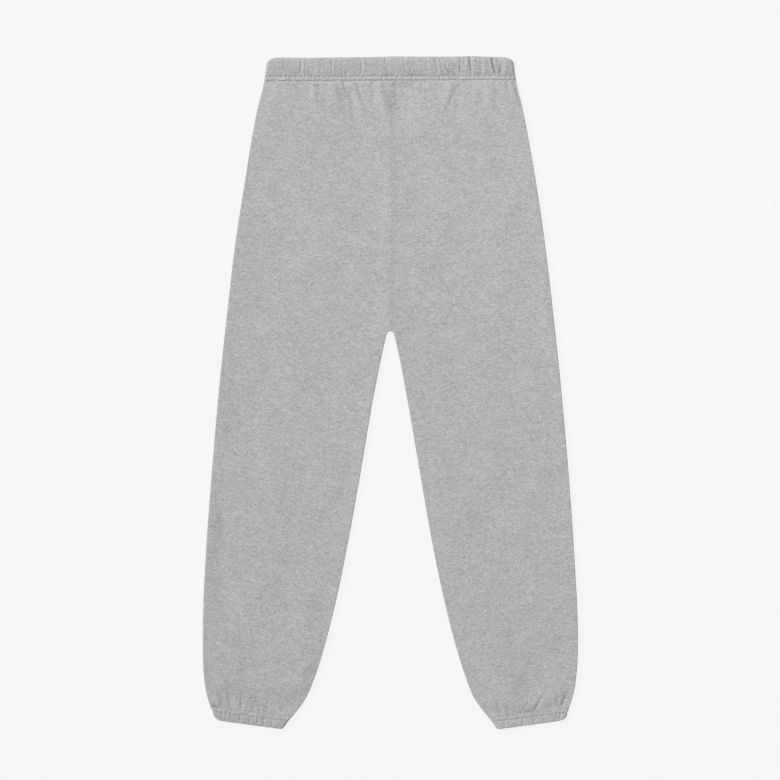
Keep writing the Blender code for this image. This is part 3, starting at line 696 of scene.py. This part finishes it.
def pleated(pleats, shape, x, depth_share):
    """Height that the pleats add at each point of a casing. Each runs from its place at the stitching to its
    place at the free edge. It is a bell across, and eases in and out at its two ends."""
    height = np.zeros_like(x)
    from_edge = np.clip((1 - depth_share) / (1 - shape.stitches), 0.0, PAST_STITCHES)
    for pleat in rows_of((PLEAT_COLUMNS, *pleats[shape.name]), (1.0,)):
        middle = pleat.free_x + (pleat.sewn_x - pleat.free_x) * from_edge**pleat.bend
        ends = 1 - fading(depth_share - pleat.low, PLEAT_RISE)
        if pleat.high < 1.0:
            ends = ends * (1 - fading(pleat.high - depth_share, PLEAT_END))
        height += pleat.height * ends * bell(x - middle, pleat.half_width)
    return height


def casing_relief(shape, points, angle, around, share, depth):
    """How far a casing's outer face moves out: the ripples that the elastic gathers, the pinches and lumps of
    its ridge and the uneven channel of its stitching, all nothing at the seam, and the pleats. Both calm down
    at the free edge."""
    down, x = share * depth, points[..., 0]
    elastic = 1 - fading(share - shape.stitches - ELASTIC_FROM, ELASTIC_EASE)
    ridge = bell(share - shape.stitches / 2, shape.stitches / 3)
    stitched = bell(share - shape.stitches, CHANNEL_WIDTH / depth)
    height = ripples("elastic", around, down, shape.seed, shape.coarseness) * elastic
    height -= RIDGE_PINCH * shape.coarseness**2 * pinched(shape.name, x) * ridge
    height += shape.coarseness**2 * ripples("stitches", around, down, shape.seed) * stitched
    height += ripples("channel", around, down, shape.seed) * stitched
    lumps = ripples("lumps", around, down, shape.seed) * bell(share - LUMPS_AT, LUMPS_WIDTH)
    height += shape.coarseness * lumps
    height *= 1 - fading(share, SEAM_CALM_REACH)
    height += np.where(angle == 90, pleated(PLEATS, shape, x, share), 0.0)
    height += np.where(angle == -90, pleated(UNDER_PLEATS, shape, x, share), 0.0)
    return height * (1 - shape.calm * fading((1 - share) * depth, EDGE_CALM_REACH))


def casing(shape, section, inner, material):
    """A folded casing as a flattened ring: its section is carried along the upper layer, round the fold at
    the right end, back along the lower layer and round the fold at the left end, and then its outer face
    moves by its relief. Returns the piece, its outer face, its normals and its shares of the depth."""
    left_seam, right_seam, left_free, right_free = np.array(shape[1:5])
    radius = shape.height / 2
    length = np.linalg.norm(right_seam - left_seam)
    depth = np.linalg.norm(left_free - left_seam)
    rows, outer_count = smooth_section(section, inner, depth, shape.step)
    share, upper_wall, lower_wall = rows.T
    steps = (length - 2 * radius) / shape.step
    upper = np.linspace(radius, length - radius, round(steps) + 1)
    lower = np.linspace(length - radius, radius, round(steps / UNDER_STEP) + 1)
    turns = CASING_FOLD_ANGLES
    mark = np.concatenate([upper, np.full(len(turns), length), lower, np.zeros(len(turns))])[:, None]
    angle = [np.full(len(upper), 90.0), turns, np.full(len(lower), -90.0), turns[::-1]]
    angle = np.concatenate(angle)[:, None]
    turn = np.radians(angle)
    left_end = left_seam + share[:, None] * (left_free - left_seam)
    right_end = right_seam + share[:, None] * (right_free - right_seam)
    ahead = (right_end - left_end) / np.linalg.norm(right_end - left_end, axis=1)[:, None]
    left_corner, right_corner = (corner_rounding(share, depth, corner, shape.lean) for corner in shape.radii)
    pull = left_corner * fading(mark, CORNER_REACH) - right_corner * fading(length - mark, CORNER_REACH)
    uppermost = (1 + np.sin(turn)) / 2
    upper_wall = upper_wall * (1 - shape.droop * share**2)
    wall = upper_wall * uppermost + lower_wall * (1 - uppermost)
    reach = CASING_GAP / 2 + wall
    at_seam = radius - CASING_GAP / 2 - (upper_wall + lower_wall) / 2
    drawn_in = radius - at_seam * fading(share, DRAWN_IN_REACH)
    inwards = np.where(mark < length / 2, 1.0, -1.0)
    bent = inwards * (drawn_in - reach * np.cos(turn)) * (np.abs(angle) < 90)
    plan = left_end + (right_end - left_end) * (mark / length)[..., None] + (pull + bent)[..., None] * ahead
    if shape.name == "waistband":
        plan[..., 1] -= curve_through(TOP_EDGE, "rise", plan[..., 0]) * share**2
    points = np.concatenate([plan, (radius + reach * np.sin(turn))[..., None]], axis=-1)
    normals = grid_normals(points, True)
    normals *= np.sign(normals[len(upper) // 2, outer_count // 2, 2])
    around = np.linalg.norm(np.diff(points[:, outer_count // 2], axis=0), axis=-1)
    around = np.concatenate([[0.0], np.cumsum(around)])[:, None]
    height = casing_relief(shape, points, angle, around, share, depth)
    outside = np.arange(len(share)) < outer_count
    points = points + (height * outside)[..., None] * normals
    points[..., 2] = np.maximum(points[..., 2], 0.0)
    run = np.concatenate([[0.0], np.cumsum(np.hypot(np.diff(share) * depth, np.diff(upper_wall)))])
    cloth = np.stack(np.broadcast_arrays(around, run, np.array(CASING_PATTERN + shape.seed)), axis=-1)
    ring = np.arange(points[..., 0].size).reshape(points.shape[:2])
    ring = np.pad(ring, ((0, 1), (0, 1)), mode="wrap")
    faces = quads(ring, left_free[1] < left_seam[1])
    piece = add_piece(shape.name + "_cloth", points, faces, cloth, material)
    return piece, points[:, :outer_count], normals[:, :outer_count], share[:outer_count]


# Stitching

# Stitches: their size, how far they stray along the line, stand out in the middle and sink in at their ends,
# and the thread's rings along a half length with how full it is at each
STITCH_SPACING, STITCH_LENGTH = 3.2, 2.6
THREAD, THREAD_FLATNESS = 0.62, (0.55, 0.45)
STITCH_STRAY, STITCH_BOW, STITCH_SINK = 0.06, 0.12, 0.5
STITCH_RINGS = np.array([-1.0, -0.82, -0.4, 0.0, 0.4, 0.82, 1.0])
STITCH_SWELL = np.array([0.15, 0.7, 0.95, 1.0, 0.95, 0.7, 0.15])


def stitch_line(name, path, normals, seed, material):
    """A closed line of separate stitches along a path: each is a short thread with six sides that swells
    between its ends and sinks in at both, by the third power of the distance from its middle."""
    draw = np.random.default_rng(seed)
    path, normals = np.concatenate([path, path[:1]]), np.concatenate([normals, normals[:1]])
    run = np.concatenate([[0.0], np.cumsum(np.linalg.norm(np.diff(path, axis=0), axis=-1))])
    count = round(run[-1] / STITCH_SPACING)
    centre = (np.arange(count) + draw.uniform(-STITCH_STRAY, STITCH_STRAY, count)) * run[-1] / count
    at = (centre[:, None] + STITCH_RINGS * STITCH_LENGTH / 2) % run[-1]
    place = np.stack([np.interp(at, run, path[:, axis]) for axis in range(3)], axis=-1)
    up = np.stack([np.interp(at, run, normals[:, axis]) for axis in range(3)], axis=-1)
    up /= np.linalg.norm(up, axis=-1, keepdims=True)
    sideways = np.cross(up, np.gradient(place, axis=1))
    sideways /= np.maximum(np.linalg.norm(sideways, axis=-1, keepdims=True), TINY)
    bow = STITCH_BOW - STITCH_SINK * np.abs(STITCH_RINGS) ** 3
    place = place + (bow * THREAD)[:, None] * up
    angle = np.radians(np.arange(0, 360, 60))[:, None]
    ring = sideways[:, :, None] * np.cos(angle) * THREAD_FLATNESS[0]
    ring = ring + up[:, :, None] * np.sin(angle) * THREAD_FLATNESS[1]
    points = place[:, :, None] + ring * (STITCH_SWELL * THREAD)[:, None, None]
    index = np.arange(points[..., 0].size).reshape(points.shape[:3])
    around = np.concatenate([index, index[:, :, :1]], axis=2)
    sides = [around[:, :-1, :-1], around[:, :-1, 1:], around[:, 1:, 1:], around[:, 1:, :-1]]
    faces = [np.stack([corner.ravel() for corner in sides], axis=1)]
    for end, order in ((0, (0, 3, 2, 1)), (0, (0, 5, 4, 3)), (-1, (0, 1, 2, 3)), (-1, (0, 3, 4, 5))):
        faces.append(index[:, end][:, order])
    return add_piece(name, points, np.concatenate(faces), None, material)


# Materials


class Shade:
    """One output of a node, so that shader maths is written as Python expressions."""

    def __init__(self, tree, socket=None):
        self.tree, self.socket = tree, socket

    def node(self, kind, inputs=None, output=0, **settings):
        """A new node: its type, the values or links of its sockets, the output to give and its settings."""
        node = self.tree.nodes.new("ShaderNode" + kind)
        for setting, value in settings.items():
            setattr(node, setting, value)
        named = {socket.identifier: socket for socket in node.inputs}
        for key, value in (inputs or {}).items():
            socket = node.inputs[key] if isinstance(key, int) else named.get(key) or node.inputs[key]
            if isinstance(value, Shade):
                self.tree.links.new(value.socket, socket)
            else:
                socket.default_value = value
        found = [one for at, one in enumerate(node.outputs) if output in (at, one.identifier)]
        return Shade(self.tree, found[0] if found else None)

    def maths(self, operation, first, second=0.0):
        """A Math node on two values or links."""
        return self.node("Math", {0: first, 1: second}, operation=operation)

    def between(self, first, second):
        """A colour between two, by this share of the second."""
        inputs = {"Factor_Float": self, "A_Color": first, "B_Color": second}
        return self.node("Mix", inputs, "Result_Color", data_type="RGBA", clamp_factor=True)

    def __add__(self, other):
        return self.maths("ADD", self, other)

    def __radd__(self, other):
        return self.maths("ADD", other, self)

    def __sub__(self, other):
        return self.maths("SUBTRACT", self, other)

    def __rsub__(self, other):
        return self.maths("SUBTRACT", other, self)

    def __mul__(self, other):
        return self.maths("MULTIPLY", self, other)

    def __rmul__(self, other):
        return self.maths("MULTIPLY", other, self)

    def __pow__(self, other):
        return self.maths("POWER", self, other)


def new_material(name):
    """A material with an empty tree, and where its expressions begin."""
    material = bpy.data.materials.new(name)
    material.use_nodes = True
    material.node_tree.nodes.clear()
    return material, Shade(material.node_tree)


def finish_material(start, inputs):
    """Joins the values and links of a shader's sockets to the material's output."""
    shader = start.node("BsdfPrincipled", inputs)
    start.node("OutputMaterial", {"Surface": shader})


def grey(value):
    """An opaque grey."""
    return (value, value, value, 1.0)


# The fleece's fibres, and how its knit is spaced across and down
DARK_FIBRE, PALE_FIBRE = grey(0.19), grey(0.71)
WALE, COURSE = 1.15, 0.95
LOOP_SLANT = 0.75

# Layers of noise in the fleece: worm-like flecks, slubs, nubs about as long as wide, single fibres and faint
# clouds, with their weight in the mix of dark and pale fibres
FLEECE_LAYERS = (
    ("name", "width", "length", "detail", "roughness", "distortion", "turn", "weight"),
    ("flecks", 7.0, 2.7, 0.0, 0.5, 0.8, 0.0, 0.27),
    ("slubs", 3.2, 1.6, 0.0, 0.5, 0.3, 0.0, 0.26),
    ("nubs", 2.2, 1.2, 0.0, 0.5, 0.0, 0.0, 0.56),
    ("fibres", 1.3, 0.3, 2.0, 0.6, 0.0, 4.0, 0.4),
    ("clouds", 26.0, 22.0, 1.0, 0.5, 0.0, 0.0, 0.12),
)
LAYER_APART, NOISE_MEAN = 20.0, 0.5
LOOP_WEIGHT, LOOP_MEAN = 0.06, 0.55

# The gloss of all cloth, and the share of the loops, fibres and slubs in the fleece's relief
CLOTH_GLOSS = {"Specular IOR Level": 0.2, "Sheen Roughness": 0.5}
LOOP_RELIEF, FIBRE_RELIEF, SLUB_RELIEF = 0.5, 0.8, 0.7


def cloth_noise(start, cloth, layer):
    """One layer of noise, drawn out to the width and length of its grains and turned by its angle."""
    scale = (1 / (layer.width * MM), 1 / (layer.length * MM), 1 / (LAYER_APART * MM))
    turn = (0.0, 0.0, math.radians(layer.turn))
    placed = start.node("Mapping", {"Vector": cloth, "Rotation": turn, "Scale": scale})
    inputs = {"Vector": placed, "Scale": 1.0, "Detail": layer.detail, "Roughness": layer.roughness}
    return start.node("TexNoise", {**inputs, "Distortion": layer.distortion}, "Fac")


def fleece(name, level):
    """Heather grey fleece: dark and pale fibres, mixed round a level by layers of noise that are drawn out
    across the cloth. Its knit is rows of V-shaped loops: half a sine wave down each loop, slanted to both
    sides of its middle. Its relief is the loops, the fibres and the slubs."""
    material, start = new_material(name)
    cloth = start.node("Attribute", output="Vector", attribute_name="cloth")
    across = start.node("SeparateXYZ", {"Vector": cloth}, "X")
    down = Shade(start.tree, across.socket.node.outputs["Y"])
    column = start.maths("PINGPONG", across * (1 / (WALE * MM)), 0.5) * 2.0
    loop = start.maths("FRACT", down * (1 / (COURSE * MM)) + column * LOOP_SLANT)
    loops = start.maths("SINE", loop * math.pi) * (1 - column**4)
    noises = {layer.name: cloth_noise(start, cloth, layer) for layer in rows_of(FLEECE_LAYERS)}
    mix = level
    for layer in rows_of(FLEECE_LAYERS):
        mix = mix + layer.weight * (noises[layer.name] - NOISE_MEAN)
    mix = mix + LOOP_WEIGHT * (loops - LOOP_MEAN)
    relief = LOOP_RELIEF * loops + FIBRE_RELIEF * noises["fibres"] + SLUB_RELIEF * noises["slubs"]
    bump = start.node("Bump", {"Strength": 0.35, "Distance": 0.25 * MM, "Height": relief})
    colour = mix.between(DARK_FIBRE, PALE_FIBRE)
    looks = {"Base Color": colour, "Roughness": 0.95, "Normal": bump, "Sheen Weight": 0.35}
    finish_material(start, {**looks, **CLOTH_GLOSS})
    return material


def thread(name):
    """Grey sewing thread: its twist is stripes along the thread, drawn by a wave across the cloth."""
    material, start = new_material(name)
    place = start.node("TexCoord", output="Object")
    inputs = {"Vector": place, "Scale": 900.0, "Distortion": 1.5}
    twist = start.node("TexWave", inputs, "Fac", wave_type="BANDS", bands_direction="DIAGONAL")
    bump = start.node("Bump", {"Strength": 0.4, "Distance": 0.1 * MM, "Height": twist})
    colour = twist.between(grey(0.3), grey(0.46))
    looks = {"Base Color": colour, "Roughness": 0.7, "Normal": bump, "Sheen Weight": 0.05}
    finish_material(start, {**looks, **CLOTH_GLOSS})
    return material


# Build


waistband, cuff_left, cuff_right = rows_of(CASINGS)

body_fleece = fleece("heather_fleece", 0.47)
# The casings' fleece is mixed round a lower level than the body's, so they come out darker: partly painted
# shade of their gathers, partly their knit pressed denser by the elastic
casing_fleece = fleece("casing_fleece", 0.45)
grey_thread = thread("grey_thread")

for side, sided in ((-1, "left"), (1, "right")):
    for layer in ("front", "back"):
        node = layer + "_" + sided
        panel = leg_panel(node + "_cloth", side, layer == "back", body_fleece)
        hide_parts(node)
        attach(panel, "root")

for shape, section, inner in (
    (waistband, WAISTBAND_SECTION, WAISTBAND_INNER),
    (cuff_left, CUFF_SECTION, CUFF_INNER),
    (cuff_right, CUFF_SECTION, CUFF_INNER),
):
    ring, face, normals, share = casing(shape, section, inner, casing_fleece)
    row = np.argmin(np.abs(share - shape.stitches))
    name = shape.name + "_stitches"
    stitches = stitch_line(name, face[:, row], normals[:, row], shape.seed + 2, grey_thread)
    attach(stitches, "root")
    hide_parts(shape.name)
    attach(ring, "root")


# Floor, light and camera, in metres

FLOOR_REACH, FLOOR_DROP = 30.0, 0.0002
FLOOR_GREYS, FLOOR_GLOW = (0.05, 0.0505), 0.871
WORLD_STRENGTH = 0.33
VIEW_WIDTH = 1.2071
VIEW_CENTRE = (-0.0006, 0.0041)
CAMERA_HEIGHT, CAMERA_SIGHT = 6.0, 100.0
SENSOR = 36.0
SOFTBOXES = (
    ("name", "direction", "distance", "size", "power"),
    ("left_softbox", (-0.85, 0.4, 0.75), 60.0, 19.0, 30300.0),
    ("top_softbox", (0.8, 1.75, 2.15), 2.885, 1.2, 21.3),
)


def add_floor():
    """A wide pale floor just below the garment."""
    corners = [(-1, -1), (1, -1), (1, 1), (-1, 1)]
    mesh = bpy.data.meshes.new("floor")
    points = [(x * FLOOR_REACH, y * FLOOR_REACH, -FLOOR_DROP) for x, y in corners]
    mesh.from_pydata(points, [], [(0, 1, 2, 3)])
    material, start = new_material("pale_floor")
    grain = start.node("TexNoise", {"Scale": 2.0, "Detail": 1.0}, "Fac")
    colour = grain.between(*[grey(value) for value in FLOOR_GREYS])
    looks = {"Base Color": colour, "Roughness": 1.0, "Specular IOR Level": 0.0}
    finish_material(start, {**looks, "Emission Color": grey(1.0), "Emission Strength": FLOOR_GLOW})
    mesh.materials.append(material)
    floor = add_object("floor", mesh)


def add_softbox(box):
    """A square softbox that looks at the garment from its direction."""
    direction = np.array(box.direction) / np.linalg.norm(box.direction)
    light = bpy.data.lights.new(box.name, "AREA")
    light.shape, light.size, light.energy = "SQUARE", box.size, box.power
    lamp = add_object(box.name, light)
    lamp.location = direction * box.distance
    lamp.rotation_euler = (math.acos(direction[2]), 0.0, math.atan2(direction[0], -direction[1]))
    lamp.visible_camera = False


add_floor()
for softbox in rows_of(SOFTBOXES):
    add_softbox(softbox)

world = bpy.data.worlds.new("studio")
world.use_nodes = True
background = world.node_tree.nodes["Background"]
background.inputs["Color"].default_value = grey(1.0)
background.inputs["Strength"].default_value = WORLD_STRENGTH
bpy.context.scene.world = world
bpy.context.scene.view_settings.view_transform = "Standard"

camera = bpy.data.cameras.new("camera")
camera.sensor_width = SENSOR
camera.lens = SENSOR * (CAMERA_HEIGHT - FOLD_HEIGHT * MM) / VIEW_WIDTH
camera.clip_end = CAMERA_SIGHT
viewer = add_object("camera", camera)
viewer.location = (*VIEW_CENTRE, CAMERA_HEIGHT)
bpy.context.scene.camera = viewer
